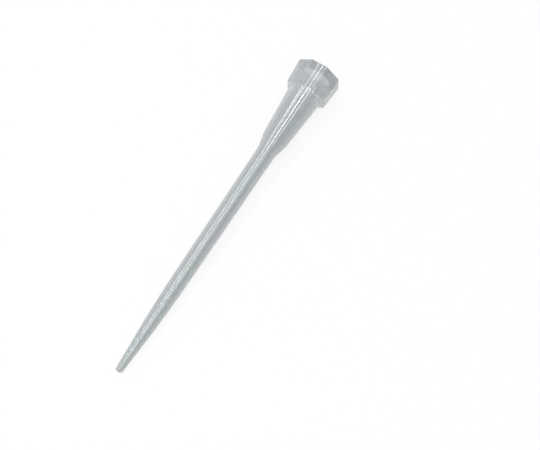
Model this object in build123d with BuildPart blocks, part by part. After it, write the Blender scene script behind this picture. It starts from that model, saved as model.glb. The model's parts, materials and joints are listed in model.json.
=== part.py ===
from build123d import *

import math
import os

# An extra-long 10 microlitre pipette tip, moulded in one piece and lying on a flat surface.
# Sizes are in millimetres. Heights run along the tip's own axis, from the orifice to the mouth.

# --- Overall ---------------------------------------------------------------------------------
TIP_LENGTH = 46.0  # orifice to mouth

# --- Bore: the shape of the core pin ---------------------------------------------------------
ORIFICE_BORE = 0.46  # diameters of the bore, from the orifice up
POINT_BORE = 0.95
KNEE_BORE = 1.23
SHAFT_TOP_BORE = 1.54
THROAT_BORE = 2.32
SEAL_BORE = 3.20  # the straight land that grips the pipettor's nozzle
THROAT_TAPER = 0.01  # on the radius, up to the ledge at the bottom of the socket
THROAT_STEP = 0.10  # the ledge, on the radius
ENTRY_CLEARANCE = 0.25  # on the radius, above the seal, where the nozzle comes in

# --- Walls: how far the outside stands off the bore ------------------------------------------
ORIFICE_WALL = 0.225
POINT_WALL = 0.395
SHAFT_WALL = 0.42
THROAT_WALL = 0.465
SOCKET_WALL = 0.58  # from the seal land out to the barrel at the collar's root

# --- Heights ---------------------------------------------------------------------------------
POINT_LENGTH = 7.0  # orifice to the end of the steep point
KNEE_LENGTH = 5.0  # from there to the start of the long shaft
FLARE_LENGTH = 2.0  # shaft to socket
THROAT_LENGTH = 1.3  # top of the flare to the socket's floor
SOCKET_DEPTH = 9.3  # mouth to the socket's floor
SEAL_DEPTH = 3.5  # mouth to the upper end of the seal land
SEAL_LENGTH = 2.0
FUNNEL_DEPTH = 0.8  # the funnel inside the mouth

# --- Collar: the eight-sided head that hangs in a rack ---------------------------------------
COLLAR_SIDES = 8
COLLAR_LEDGE = 0.40  # how far its underside stands out from the barrel, at a flat
COLLAR_HEIGHT = 3.4
COLLAR_DRAFT = 3.4  # degrees, narrower towards the underside
RIM_LAND = 0.20  # flat left between the rim's bevel and the funnel
RIM_BEVEL = 0.20

# --- Blends ----------------------------------------------------------------------------------
POINT_BLEND = 25.0
FLARE_BLEND = 2.5
COLLAR_CORNER_BLEND = 0.12
COLLAR_EDGE_BLEND = 0.12
COLLAR_ROOT_BLEND = 0.15

# --- Heights worked out from the sizes above -------------------------------------------------
knee_height = POINT_LENGTH + KNEE_LENGTH
floor_height = TIP_LENGTH - SOCKET_DEPTH
flare_top_height = floor_height - THROAT_LENGTH
shaft_top_height = flare_top_height - FLARE_LENGTH
seal_top_height = TIP_LENGTH - SEAL_DEPTH
seal_bottom_height = seal_top_height - SEAL_LENGTH
funnel_height = TIP_LENGTH - FUNNEL_DEPTH
underside_height = TIP_LENGTH - COLLAR_HEIGHT

# --- The throat, the socket and the root of the collar ---------------------------------------
throat_radius = THROAT_BORE / 2
step_radius = throat_radius + THROAT_TAPER
floor_radius = step_radius + THROAT_STEP
seal_radius = SEAL_BORE / 2
root_radius = seal_radius + SOCKET_WALL

# --- The collar's half width across flats ----------------------------------------------------
draft_slope = math.tan(math.radians(COLLAR_DRAFT))
underside_half_flats = root_radius + COLLAR_LEDGE
rim_half_flats = underside_half_flats + COLLAR_HEIGHT * draft_slope
bevel_height = TIP_LENGTH - RIM_BEVEL
bevel_half_flats = rim_half_flats - RIM_BEVEL * draft_slope
mouth_radius = rim_half_flats - RIM_BEVEL - RIM_LAND
half_side = 180 / COLLAR_SIDES  # turns a flat, not a corner, towards the surface below

# --- Outlines as (height, radius), from the orifice up ---------------------------------------
bore = [
    (0, ORIFICE_BORE / 2),
    (POINT_LENGTH, POINT_BORE / 2),
    (knee_height, KNEE_BORE / 2),
    (shaft_top_height, SHAFT_TOP_BORE / 2),
    (flare_top_height, throat_radius),
    (floor_height - THROAT_STEP, step_radius),
    (floor_height, floor_radius),
    (seal_bottom_height, seal_radius),
    (seal_top_height, seal_radius),
    (funnel_height, seal_radius + ENTRY_CLEARANCE),
    (TIP_LENGTH, mouth_radius),
]
barrel = [
    (0, ORIFICE_BORE / 2 + ORIFICE_WALL),
    (POINT_LENGTH, POINT_BORE / 2 + POINT_WALL),
    (knee_height, KNEE_BORE / 2 + SHAFT_WALL),
    (shaft_top_height, SHAFT_TOP_BORE / 2 + SHAFT_WALL),
    (flare_top_height, throat_radius + THROAT_WALL),
    (underside_height, root_radius),
]
barrel_blends = [POINT_BLEND, POINT_BLEND, FLARE_BLEND, FLARE_BLEND]


def slope_between(low, high):
    """How fast the radius grows from one (height, radius) to another."""
    return (high[1] - low[1]) / (high[0] - low[0])


# --- The rest pose: the tip lies on one flat of its collar and on its point ------------------
# Its lean is the slope of the line that touches both, seen from the side.
collar_edges = [(underside_height, underside_half_flats), (bevel_height, bevel_half_flats)]
lean_slope = min(max(slope_between(b, c) for c in collar_edges) for b in barrel[:-1])
lean = math.atan(lean_slope)
orifice_drop = max(r * math.cos(lean) - h * math.sin(lean) for h, r in barrel + collar_edges)

# The orifice's place is such that the tip's outer box is centred over the origin.
orifice_end = -barrel[0][1] * math.sin(lean)
mouth_end = TIP_LENGTH * math.cos(lean) + (rim_half_flats - RIM_BEVEL) * math.sin(lean)
orifice_centre = Vector(-(orifice_end + mouth_end) / 2, 0, orifice_drop)
tip_axis = Vector(math.cos(lean), 0, math.sin(lean))
underneath = Vector(math.sin(lean), 0, -math.cos(lean))

# Across: x points at the surface below and z runs up the tip. Along: x runs up the tip.
across_plane = Plane(origin=orifice_centre, x_dir=underneath, z_dir=tip_axis)
along_plane = Plane(origin=orifice_centre, x_dir=tip_axis, z_dir=(0, -1, 0))
turning_axis = Axis(orifice_centre, tip_axis)


def at_height(height):
    """Picks the edges whose middle is at this height on the tip's axis."""
    return lambda edge: abs(across_plane.to_local_coords(edge.center()).Z - height) < 1e-3


def up_the_tip(edge):
    """Picks the edges that climb along the tip, such as the collar's corners."""
    return abs((edge @ 1 - edge @ 0).dot(tip_axis)) > 1e-3


with BuildPart() as pipette_tip:
    # The collar: eight flats that widen towards the rim.
    with BuildSketch(across_plane.offset(underside_height)):
        RegularPolygon(rim_half_flats, COLLAR_SIDES, major_radius=False, rotation=half_side)
    extrude(amount=COLLAR_HEIGHT)
    flats = pipette_tip.faces().filter_by(turning_axis, reverse=True)
    draft(flats, neutral_plane=across_plane.offset(TIP_LENGTH), angle=-COLLAR_DRAFT)
    chamfer(pipette_tip.edges().filter_by(at_height(TIP_LENGTH)), RIM_BEVEL)
    corners = pipette_tip.edges().filter_by(up_the_tip)
    fillet(corners, COLLAR_CORNER_BLEND)
    fillet(pipette_tip.edges().filter_by(at_height(underside_height)), COLLAR_EDGE_BLEND)

    # The barrel: point, shaft, flare and socket in one turned outline.
    with BuildSketch(along_plane):
        with BuildLine():
            FilletPolyline(barrel, radius=barrel_blends)
            Polyline(barrel[-1], (TIP_LENGTH, root_radius), (TIP_LENGTH, 0), (0, 0), barrel[0])
        make_face()
    revolve(axis=turning_axis)
    root = pipette_tip.edges().filter_by(GeomType.CIRCLE).filter_by(at_height(underside_height))
    fillet(root, COLLAR_ROOT_BLEND)

    # The bore, right through.
    with BuildSketch(along_plane):
        with BuildLine():
            Polyline(bore)
            Polyline(bore[-1], (TIP_LENGTH, 0), (0, 0), bore[0])
        make_face()
    revolve(axis=turning_axis, mode=Mode.SUBTRACT)

pipette_tip.part.label = "pipette_tip"

os.makedirs("parts", exist_ok=True)
export_step(pipette_tip.part, "parts/pipette_tip.step")
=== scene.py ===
"""The pipette tip's looks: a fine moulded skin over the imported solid, a white floor, lamps and a camera."""

import json
import math

import bpy
from mathutils import Matrix, Vector


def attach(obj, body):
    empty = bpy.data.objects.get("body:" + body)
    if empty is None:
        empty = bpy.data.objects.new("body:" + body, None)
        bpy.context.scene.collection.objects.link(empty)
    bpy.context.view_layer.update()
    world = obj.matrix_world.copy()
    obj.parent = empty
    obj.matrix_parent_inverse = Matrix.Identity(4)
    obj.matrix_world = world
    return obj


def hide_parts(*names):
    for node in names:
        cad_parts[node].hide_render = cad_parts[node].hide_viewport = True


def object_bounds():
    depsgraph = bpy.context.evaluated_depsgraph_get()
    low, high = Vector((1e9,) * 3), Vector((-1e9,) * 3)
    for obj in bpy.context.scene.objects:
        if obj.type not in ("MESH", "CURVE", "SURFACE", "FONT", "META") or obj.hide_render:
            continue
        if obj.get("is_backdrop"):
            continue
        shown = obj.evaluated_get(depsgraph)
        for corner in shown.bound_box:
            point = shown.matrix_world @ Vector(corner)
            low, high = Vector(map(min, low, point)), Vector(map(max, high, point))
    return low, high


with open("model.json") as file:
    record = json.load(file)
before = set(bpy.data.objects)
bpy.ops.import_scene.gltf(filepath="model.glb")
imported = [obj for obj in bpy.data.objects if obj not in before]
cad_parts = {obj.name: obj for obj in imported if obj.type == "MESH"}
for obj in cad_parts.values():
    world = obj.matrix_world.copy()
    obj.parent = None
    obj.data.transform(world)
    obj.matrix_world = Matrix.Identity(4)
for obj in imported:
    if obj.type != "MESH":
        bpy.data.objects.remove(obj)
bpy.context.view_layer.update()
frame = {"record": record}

MM = 0.001

# --- The tip's own sizes, in millimetres, named as in the part's source ---------------------------
# Heights run along the tip's own axis, from the orifice to the mouth.
TIP_LENGTH = 46.0

ORIFICE_BORE = 0.46  # diameters of the bore, from the orifice up
POINT_BORE = 0.95
KNEE_BORE = 1.23
SHAFT_TOP_BORE = 1.54
THROAT_BORE = 2.32
SEAL_BORE = 3.20
THROAT_TAPER = 0.01  # on the radius, up to the ledge at the bottom of the socket
THROAT_STEP = 0.10  # the ledge, on the radius
ENTRY_CLEARANCE = 0.25  # on the radius, above the seal

ORIFICE_WALL = 0.225  # how far the outside stands off the bore, from the orifice up
POINT_WALL = 0.395
SHAFT_WALL = 0.42
THROAT_WALL = 0.465
SOCKET_WALL = 0.58

POINT_LENGTH = 7.0
KNEE_LENGTH = 5.0
FLARE_LENGTH = 2.0
THROAT_LENGTH = 1.3
SOCKET_DEPTH = 9.3  # the depths are from the mouth
SEAL_DEPTH = 3.5
SEAL_LENGTH = 2.0
FUNNEL_DEPTH = 0.8

COLLAR_SIDES = 8
COLLAR_LEDGE = 0.40  # how far its underside stands out from the barrel, at a flat
COLLAR_HEIGHT = 3.4
COLLAR_DRAFT = 3.4  # degrees that each flat leans outward
RIM_LAND = 0.20
RIM_BEVEL = 0.20

POINT_BLEND = 25.0
FLARE_BLEND = 2.5
COLLAR_CORNER_BLEND = 0.12
COLLAR_EDGE_BLEND = 0.12
COLLAR_ROOT_BLEND = 0.15

# Blends that only the skin has, where the solid's edges are sharp.
BREAK = 0.035  # radius of a sharp moulded edge
FUNNEL_BLEND = 0.1
SEAL_BLEND = 0.3
THROAT_BLEND = 0.5
SHAFT_TOP_BLEND = 1.0

knee_height = POINT_LENGTH + KNEE_LENGTH
socket_floor_height = TIP_LENGTH - SOCKET_DEPTH
flare_top_height = socket_floor_height - THROAT_LENGTH
shaft_top_height = flare_top_height - FLARE_LENGTH
seal_top_height = TIP_LENGTH - SEAL_DEPTH
seal_bottom_height = seal_top_height - SEAL_LENGTH
funnel_height = TIP_LENGTH - FUNNEL_DEPTH
underside_height = TIP_LENGTH - COLLAR_HEIGHT
bevel_height = TIP_LENGTH - RIM_BEVEL

orifice_radius = ORIFICE_BORE / 2
point_radius = POINT_BORE / 2
knee_radius = KNEE_BORE / 2
shaft_top_radius = SHAFT_TOP_BORE / 2
throat_radius = THROAT_BORE / 2
step_radius = throat_radius + THROAT_TAPER
socket_floor_radius = step_radius + THROAT_STEP
seal_radius = SEAL_BORE / 2
root_radius = seal_radius + SOCKET_WALL

draft_slope = math.tan(math.radians(COLLAR_DRAFT))
underside_half_flats = root_radius + COLLAR_LEDGE
rim_half_flats = underside_half_flats + COLLAR_HEIGHT * draft_slope
bevel_half_flats = rim_half_flats - RIM_BEVEL * draft_slope
land_half_flats = rim_half_flats - RIM_BEVEL
mouth_radius = land_half_flats - RIM_LAND

# --- The finishes, with painted light and shade in their greys ------------------------------------
# Each surface is a film that is partly seen through. Alpha thins a film's gloss as well as its
# colour, so most of the finishes have a gloss index above polypropylene's own to bring it back.
POLYPROPYLENE_INDEX = 1.49

# Each finish's name, its grey, alpha and roughness, its gloss's index and roughness, and how wavy
# it is, as a share of the depths below. They are in the order of the skin's material slots. Some
# greys are painted light and shade: the underside, seat and bore are painted paler to lift the
# shade on them, the collar darker as painted shade, and the rim darker as a painted dark outline.
FINISHES_AND_PAINTED_LIGHT = (
    ("point", 0.46, 0.70, 0.25, 2.2, 0.20, 0.5),
    ("body", 0.46, 0.70, 0.25, 2.2, 0.06, 1.0),
    # The underside's pale grey is painted light, lifting the shade on the ledge that faces away from the
    # lamps.
    ("underside", 0.54, 0.38, 0.25, 1.4, 0.20, 1.0),
    # The collar's grey, darker than the body's, is painted shade.
    ("collar", 0.375, 0.53, 0.25, 1.4, 0.06, 1.0),
    # The rim's dark grey is a painted dark outline along the rim's edge.
    ("rim", 0.38, 0.70, 0.25, 1.5, 0.06, 1.0),
    ("entry", 0.47, 0.90, 0.20, 6.0, 0.06, 1.0),
    # The seat's near-white grey is painted light, lifting the shade cast inside by the films in front.
    ("seat", 0.95, 0.55, 0.20, 8.0, 0.09, 0.3),
    # The bore's pale grey is painted light, lifting the shade cast on it by the outer film.
    ("bore", 0.70, 0.72, 0.20, 4.0, 0.06, 1.0),
)
POINT, BODY, UNDERSIDE, COLLAR, RIM, ENTRY, SEAT, BORE = range(len(FINISHES_AND_PAINTED_LIGHT))

# Each grain's length along the tip and its width, in millimetres, and the noise's detail.
HAZE_GRAIN = (8.0, 2.2, 3.0)
FLOW_GRAIN = (9.0, 0.35, 2.0)
WAVE_GRAIN = (2.5, 1.2, 1.0)

HAZE_SPAN = (0.4, 0.6)  # the noise values between which the haze goes from one tint to the other
BLUE_TINT = (0.92, 0.975, 1.045)  # red, green and blue, as shares of a finish's grey
GREEN_TINT = (0.90, 1.03, 1.015)
FLOW_SPAN = (0.3, 0.7)  # the noise values between which a flow mark goes from smooth to rough
SMOOTHEST, ROUGHEST = 0.8, 1.2  # as shares of a finish's roughness
FLOW_DEPTH = 0.0004  # how deep the flow marks and the broader waves are, in millimetres
WAVE_DEPTH = 0.003

# The section's outline, up the outside from the orifice and back down the bore. Each corner has a
# height, a size, the radius that rounds it, whether the ring there is eight-sided, and the finish
# from it to the next corner, with the painted light and shade in that finish's grey. The size is a
# radius, or half a width across flats.
section = [
    (0, orifice_radius + ORIFICE_WALL, BREAK, False, POINT),
    (POINT_LENGTH, point_radius + POINT_WALL, POINT_BLEND, False, POINT),
    (knee_height, knee_radius + SHAFT_WALL, POINT_BLEND, False, BODY),
    (shaft_top_height, shaft_top_radius + SHAFT_WALL, FLARE_BLEND, False, BODY),
    (flare_top_height, throat_radius + THROAT_WALL, FLARE_BLEND, False, BODY),
    (underside_height, root_radius, COLLAR_ROOT_BLEND, False, UNDERSIDE),
    (underside_height, underside_half_flats, COLLAR_EDGE_BLEND, True, COLLAR),
    (bevel_height, bevel_half_flats, BREAK, True, RIM),
    (TIP_LENGTH, land_half_flats, BREAK, True, RIM),
    (TIP_LENGTH, mouth_radius, BREAK, False, ENTRY),
    (funnel_height, seal_radius + ENTRY_CLEARANCE, FUNNEL_BLEND, False, SEAT),
    (seal_top_height, seal_radius, SEAL_BLEND, False, BORE),
    (seal_bottom_height, seal_radius, SEAL_BLEND, False, BORE),
    (socket_floor_height, socket_floor_radius, BREAK, False, BORE),
    (socket_floor_height - THROAT_STEP, step_radius, BREAK, False, BORE),
    (flare_top_height, throat_radius, THROAT_BLEND, False, BORE),
    (shaft_top_height, shaft_top_radius, SHAFT_TOP_BLEND, False, BORE),
    (knee_height, knee_radius, POINT_BLEND, False, BORE),
    (POINT_LENGTH, point_radius, POINT_BLEND, False, BORE),
    (0, orifice_radius, BREAK, False, POINT),
]

# --- How finely the skin is divided ---------------------------------------------------------------
STEP_ALONG = 0.7  # longest stretch between rings, in millimetres
TURN_STEP = 2.0  # degrees that an edge's rounding turns from ring to ring
FEWEST_STEPS, MOST_STEPS = 3, 12
FLAT_STEPS = 14  # points along each flat
CORNER_STEPS = 5  # and round each corner between flats

# --- The light and the camera ---------------------------------------------------------------------
AZIMUTH, ELEVATION, ROLL = -63.555, 63.055, 5.275  # degrees
LENS = 250.0
SENSOR = 36.0
CLIP_START, CLIP_END = 0.01, 20  # how near and how far the camera sees, in metres
FRAME_WIDTH = 64.5  # millimetres across the picture, at the tip
ASIDE, ABOVE = 5.78, -1.25  # from the tip's middle to the picture's middle, in millimetres

# Each strip's name, how far round the tip's axis it stands in degrees, and how bright it is.
STRIPS = (
    ("strip_over", -9, 9.6),
    ("strip_left", -42, 7.8),
    ("strip_inner", -31, 2.6),
    ("strip_right", 13, 3.2),
)
STRIP_DISTANCE = 0.5  # from the tip, in metres, as all lamp and floor sizes are
STRIP_LENGTH = 1.2
STRIP_WIDTH = 0.035
STRIP_OFFSET = -0.15  # of a strip's middle from the tip's, towards the mouth
KEY_DISTANCE = 1.2
KEY_SIZE = 1.2
KEY_TURNED = -70  # degrees round the tip's axis, as for the strips
KEY_STRENGTH = 0.2
WORLD_LIGHT = 0.47
FLOOR_REACH = 1.4
FLOOR_SIDES = 96
SWEEP_RADIUS = 0.4  # of the curve where the floor turns up into a backdrop
SWEEP_STEPS = 8
FLOOR_GREY = 0.9
FLOOR_ROUGHNESS = 0.9
FLOOR_SPECULAR = 0.1
FLOOR_GLOW = 0.85  # the share of plain white in the floor, where it is seen

# --- The skin -------------------------------------------------------------------------------------


def rounded(corners):
    """The section as rings, (height, size, eight-sided, finish_and_painted_light), with each corner rounded
    by an arc.
    """
    rings = []
    for i, (height, size, radius, eight_sided, finish_and_painted_light) in enumerate(corners):
        here = Vector((height, size))
        back = (Vector(corners[i - 1][:2]) - here).normalized()
        on = (Vector(corners[(i + 1) % len(corners)][:2]) - here).normalized()
        turn = math.pi - back.angle(on)
        reach = radius * math.tan(turn / 2)
        centre = here + (back + on).normalized() * (radius / math.cos(turn / 2))
        first, last = here + back * reach - centre, here + on * reach - centre
        steps = math.ceil(math.degrees(turn) / TURN_STEP)
        steps = max(FEWEST_STEPS, min(MOST_STEPS, steps))
        for k in range(steps + 1):
            part = k / steps
            spoke = first * math.sin((1 - part) * turn) + last * math.sin(part * turn)
            place = centre + spoke / math.sin(turn)
            rings.append((place.x, place.y, eight_sided, finish_and_painted_light))
    return rings


def spaced(rings):
    """The same rings, with more of them along each long straight run."""
    made = []
    for here, there in zip(rings, rings[1:] + rings[:1]):
        run = math.dist(here[:2], there[:2])
        pieces = max(1, math.ceil(run / STEP_ALONG))
        for k in range(pieces):
            part = k / pieces
            height, size = (a + (b - a) * part for a, b in zip(here[:2], there[:2]))
            made.append((height, size, *here[2:]))
    return made


def around():
    """For each point round a ring: its place on an octagon of half width 1, and its flat's normal."""
    half = math.pi / COLLAR_SIDES
    made = []
    for side in range(COLLAR_SIDES):
        middle = 2 * half * side
        out = Vector((math.cos(middle), math.sin(middle)))
        along = Vector((-math.sin(middle), math.cos(middle)))
        for k in range(FLAT_STEPS + 1):
            share = 2 * k / FLAT_STEPS - 1
            made.append((out + along * share * math.tan(half), out))
        corner = out + along * math.tan(half)
        for k in range(1, CORNER_STEPS):
            turned = middle + 2 * half * k / CORNER_STEPS
            made.append((corner, Vector((math.cos(turned), math.sin(turned)))))
    return made


def octagon_point(place, normal, half_flats):
    """A point of an octagon with rounded corners."""
    return place * (half_flats - COLLAR_CORNER_BLEND) + normal * COLLAR_CORNER_BLEND


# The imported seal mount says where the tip's axis is. It stands at the middle of the seal land.
seal = next(m for m in frame["record"]["mounts"] if m["name"] == "nozzle_seal")
tip_axis = Vector(seal["axis"]).normalized()
seal_middle = (seal_bottom_height + seal_top_height) / 2
orifice = Vector(seal["pos_m"]) - tip_axis * seal_middle * MM
underneath = Vector((tip_axis.z, 0, -tip_axis.x))
sideways = tip_axis.cross(underneath)


def make_skin():
    """The tip's whole surface as one closed mesh, outside and bore."""
    rings = spaced(rounded(section))
    ring = around()
    vertices = []
    for height, size, eight_sided, _ in rings:
        for place, normal in ring:
            if eight_sided:
                flat = octagon_point(place, normal, size)
            else:
                flat = octagon_point(place, normal, rim_half_flats).normalized() * size
            offset = tip_axis * height + underneath * flat.x + sideways * flat.y
            vertices.append(orifice + offset * MM)
    faces, finishes_and_painted_light = [], []
    for i, (_, _, _, finish_and_painted_light) in enumerate(rings):
        here, there = i * len(ring), (i + 1) % len(rings) * len(ring)
        for k in range(len(ring)):
            n = (k + 1) % len(ring)
            faces.append((here + k, there + k, there + n, here + n))
            finishes_and_painted_light.append(finish_and_painted_light)
    mesh = bpy.data.meshes.new("tip_skin")
    mesh.from_pydata(vertices, [], faces)
    mesh.polygons.foreach_set("material_index", finishes_and_painted_light)
    mesh.polygons.foreach_set("use_smooth", [True] * len(faces))
    skin = bpy.data.objects.new("tip_skin", mesh)
    bpy.context.scene.collection.objects.link(skin)
    skin.modifiers.new("flat_faces_stay_flat", "WEIGHTED_NORMAL")
    return skin


# --- The plastic ----------------------------------------------------------------------------------

# Turns the grain's own length to run along the tip.
along_the_tip = Vector((1, 0, 0)).rotation_difference(tip_axis).to_euler()


def grain(material, along, across, detail):
    """Noise whose grains have this length along the tip and this width, in millimetres."""
    nodes, links = material.node_tree.nodes, material.node_tree.links
    place = nodes.new("ShaderNodeTexCoord")
    lined_up = nodes.new("ShaderNodeMapping")
    lined_up.vector_type = "TEXTURE"
    lined_up.inputs["Rotation"].default_value = along_the_tip
    lined_up.inputs["Scale"].default_value = (along * MM, across * MM, across * MM)
    noise = nodes.new("ShaderNodeTexNoise")
    noise.inputs["Scale"].default_value = 1.0
    noise.inputs["Detail"].default_value = detail
    links.new(place.outputs["Object"], lined_up.inputs["Vector"])
    links.new(lined_up.outputs["Vector"], noise.inputs["Vector"])
    return noise.outputs["Fac"]


def ramp(material, value, low, high, low_value, high_value):
    """Maps the values from low to high onto low_value to high_value."""
    nodes, links = material.node_tree.nodes, material.node_tree.links
    mapped = nodes.new("ShaderNodeMapRange")
    mapped.inputs["From Min"].default_value = low
    mapped.inputs["From Max"].default_value = high
    mapped.inputs["To Min"].default_value = low_value
    mapped.inputs["To Max"].default_value = high_value
    links.new(value, mapped.inputs["Value"])
    return mapped.outputs["Result"]


def bump(material, height, depth, onto):
    """Raises the surface by height times depth, in millimetres, on top of another bump if there is one."""
    nodes, links = material.node_tree.nodes, material.node_tree.links
    raised = nodes.new("ShaderNodeBump")
    raised.inputs["Distance"].default_value = depth * MM
    links.new(height, raised.inputs["Height"])
    if onto:
        links.new(onto, raised.inputs["Normal"])
    return raised.outputs["Normal"]


def plastic(name, grey, alpha, roughness, gloss_index, gloss_roughness, waviness):
    """Natural polypropylene: a cool grey haze with faint flow marks along the tip, over a grey that is
    painted paler on some surfaces and darker on others, as painted light and shade.
    """
    material = bpy.data.materials.new(name)
    material.use_nodes = True
    nodes, links = material.node_tree.nodes, material.node_tree.links
    shader = nodes["Principled BSDF"]
    shader.inputs["IOR"].default_value = POLYPROPYLENE_INDEX
    shader.inputs["Alpha"].default_value = alpha
    shader.inputs["Coat Weight"].default_value = 1.0
    shader.inputs["Coat Roughness"].default_value = gloss_roughness
    shader.inputs["Coat IOR"].default_value = gloss_index

    haze = ramp(material, grain(material, *HAZE_GRAIN), *HAZE_SPAN, 0.0, 1.0)
    # The base colour is the given grey, painted light and shade included where a finish has them, tinted
    # across the haze.
    tint = nodes.new("ShaderNodeMix")
    tint.data_type = "RGBA"
    for socket, shares in (("A", BLUE_TINT), ("B", GREEN_TINT)):
        tint.inputs[socket].default_value = (*(grey * share for share in shares), 1)
    links.new(haze, tint.inputs["Factor"])
    links.new(tint.outputs["Result"], shader.inputs["Base Color"])

    flow = grain(material, *FLOW_GRAIN)
    rough = ramp(material, flow, *FLOW_SPAN, roughness * SMOOTHEST, roughness * ROUGHEST)
    links.new(rough, shader.inputs["Roughness"])
    normal = bump(material, flow, FLOW_DEPTH * waviness, None)
    normal = bump(material, grain(material, *WAVE_GRAIN), WAVE_DEPTH * waviness, normal)
    links.new(normal, shader.inputs["Normal"])
    links.new(normal, shader.inputs["Coat Normal"])
    return material


skin = make_skin()
for finish_and_painted_light in FINISHES_AND_PAINTED_LIGHT:
    skin.data.materials.append(plastic(*finish_and_painted_light))
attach(skin, "root")
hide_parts("pipette_tip")


# --- The floor and the world ----------------------------------------------------------------------


def seen(nodes, links):
    """1 for rays that show the background: to the camera, in gloss and through glass."""
    path = nodes.new("ShaderNodeLightPath")
    most = path.outputs["Is Camera Ray"]
    for kind in ("Is Glossy Ray", "Is Transmission Ray"):
        larger = nodes.new("ShaderNodeMath")
        larger.operation = "MAXIMUM"
        links.new(most, larger.inputs[0])
        links.new(path.outputs[kind], larger.inputs[1])
        most = larger.outputs["Value"]
    return most


def paper_white():
    """Pale matt paper that shows mostly as plain white to the camera, in gloss and through glass."""
    paper = bpy.data.materials.new("paper_white")
    paper.use_nodes = True
    nodes, links = paper.node_tree.nodes, paper.node_tree.links
    shader = nodes["Principled BSDF"]
    shader.inputs["Base Color"].default_value = (FLOOR_GREY, FLOOR_GREY, FLOOR_GREY, 1)
    shader.inputs["Roughness"].default_value = FLOOR_ROUGHNESS
    shader.inputs["Specular IOR Level"].default_value = FLOOR_SPECULAR
    glow = nodes.new("ShaderNodeEmission")
    share = nodes.new("ShaderNodeMath")
    share.operation = "MULTIPLY"
    share.inputs[1].default_value = FLOOR_GLOW
    links.new(seen(nodes, links), share.inputs[0])
    mixed = nodes.new("ShaderNodeMixShader")
    links.new(share.outputs["Value"], mixed.inputs["Fac"])
    links.new(shader.outputs["BSDF"], mixed.inputs[1])
    links.new(glow.outputs["Emission"], mixed.inputs[2])
    links.new(mixed.outputs["Shader"], nodes["Material Output"].inputs["Surface"])
    return paper


def make_floor():
    """A round floor whose edge sweeps up into a low backdrop."""
    vertices = [(0, 0, 0)]
    for i in range(SWEEP_STEPS + 1):
        risen = math.pi / 2 * i / SWEEP_STEPS
        radius = FLOOR_REACH + SWEEP_RADIUS * math.sin(risen)
        height = SWEEP_RADIUS * (1 - math.cos(risen))
        for k in range(FLOOR_SIDES):
            turned = 2 * math.pi * k / FLOOR_SIDES
            vertices.append((radius * math.cos(turned), radius * math.sin(turned), height))
    faces = []
    for k in range(FLOOR_SIDES):
        n = (k + 1) % FLOOR_SIDES
        faces.append((0, 1 + k, 1 + n))
        for i in range(SWEEP_STEPS):
            low, high = 1 + i * FLOOR_SIDES, 1 + (i + 1) * FLOOR_SIDES
            faces.append((low + k, high + k, high + n, low + n))
    mesh = bpy.data.meshes.new("floor")
    mesh.from_pydata(vertices, [], faces)
    mesh.materials.append(paper_white())
    floor = bpy.data.objects.new("floor", mesh)
    bpy.context.scene.collection.objects.link(floor)
    floor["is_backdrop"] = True


def make_world():
    """Even white light from all round."""
    world = bpy.data.worlds.new("studio")
    bpy.context.scene.world = world
    world.use_nodes = True
    background = world.node_tree.nodes["Background"]
    background.inputs["Color"].default_value = (1, 1, 1, 1)
    background.inputs["Strength"].default_value = WORLD_LIGHT


make_floor()
make_world()

# --- The camera -----------------------------------------------------------------------------------
lowest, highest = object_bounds()
middle = (lowest + highest) / 2
azimuth, elevation = math.radians(AZIMUTH), math.radians(ELEVATION)
level_reach = math.cos(elevation)
back = Vector((math.sin(azimuth) * level_reach, -math.cos(azimuth) * level_reach, math.sin(elevation)))
roll = Matrix.Rotation(math.radians(ROLL), 3, "Z").to_quaternion()
turn = (-back).to_track_quat("-Z", "Y") @ roll
right, up = turn @ Vector((1, 0, 0)), turn @ Vector((0, 1, 0))

camera_data = bpy.data.cameras.new("camera")
camera_data.lens = LENS
camera_data.sensor_width = SENSOR
camera_data.clip_start, camera_data.clip_end = CLIP_START, CLIP_END
camera = bpy.data.objects.new("camera", camera_data)
camera.rotation_mode = "QUATERNION"
camera.rotation_quaternion = turn
distance = LENS / SENSOR * FRAME_WIDTH * MM
camera.location = middle + back * distance + (right * ASIDE + up * ABOVE) * MM
bpy.context.scene.collection.objects.link(camera)
bpy.context.scene.camera = camera

# --- The lamps ------------------------------------------------------------------------------------
towards = (back - tip_axis * back.dot(tip_axis)).normalized()
beside = tip_axis.cross(towards)
if beside.dot(right) < 0:
    beside = -beside


def lamp(name, turned, distance, offset, length, width, strength):
    """An area lamp that faces the tip, turned round its axis to the right of the camera, in degrees."""
    out = towards * math.cos(math.radians(turned)) + beside * math.sin(math.radians(turned))
    data = bpy.data.lights.new(name, "AREA")
    data.shape = "RECTANGLE"
    data.size = length
    data.size_y = width
    # So a lamp's brightness doesn't depend on its size.
    data.energy = strength * length * width * math.pi
    made = bpy.data.objects.new(name, data)
    axes = Matrix((tip_axis, out.cross(tip_axis), out)).transposed().to_4x4()
    made.matrix_world = Matrix.Translation(middle + out * distance + tip_axis * offset) @ axes
    made.visible_camera = False
    bpy.context.scene.collection.objects.link(made)


for name, turned, strength in STRIPS:
    lamp(name, turned, STRIP_DISTANCE, STRIP_OFFSET, STRIP_LENGTH, STRIP_WIDTH, strength)
lamp("key", KEY_TURNED, KEY_DISTANCE, 0, KEY_SIZE, KEY_SIZE, KEY_STRENGTH)

bpy.context.scene.view_settings.view_transform = "Standard"
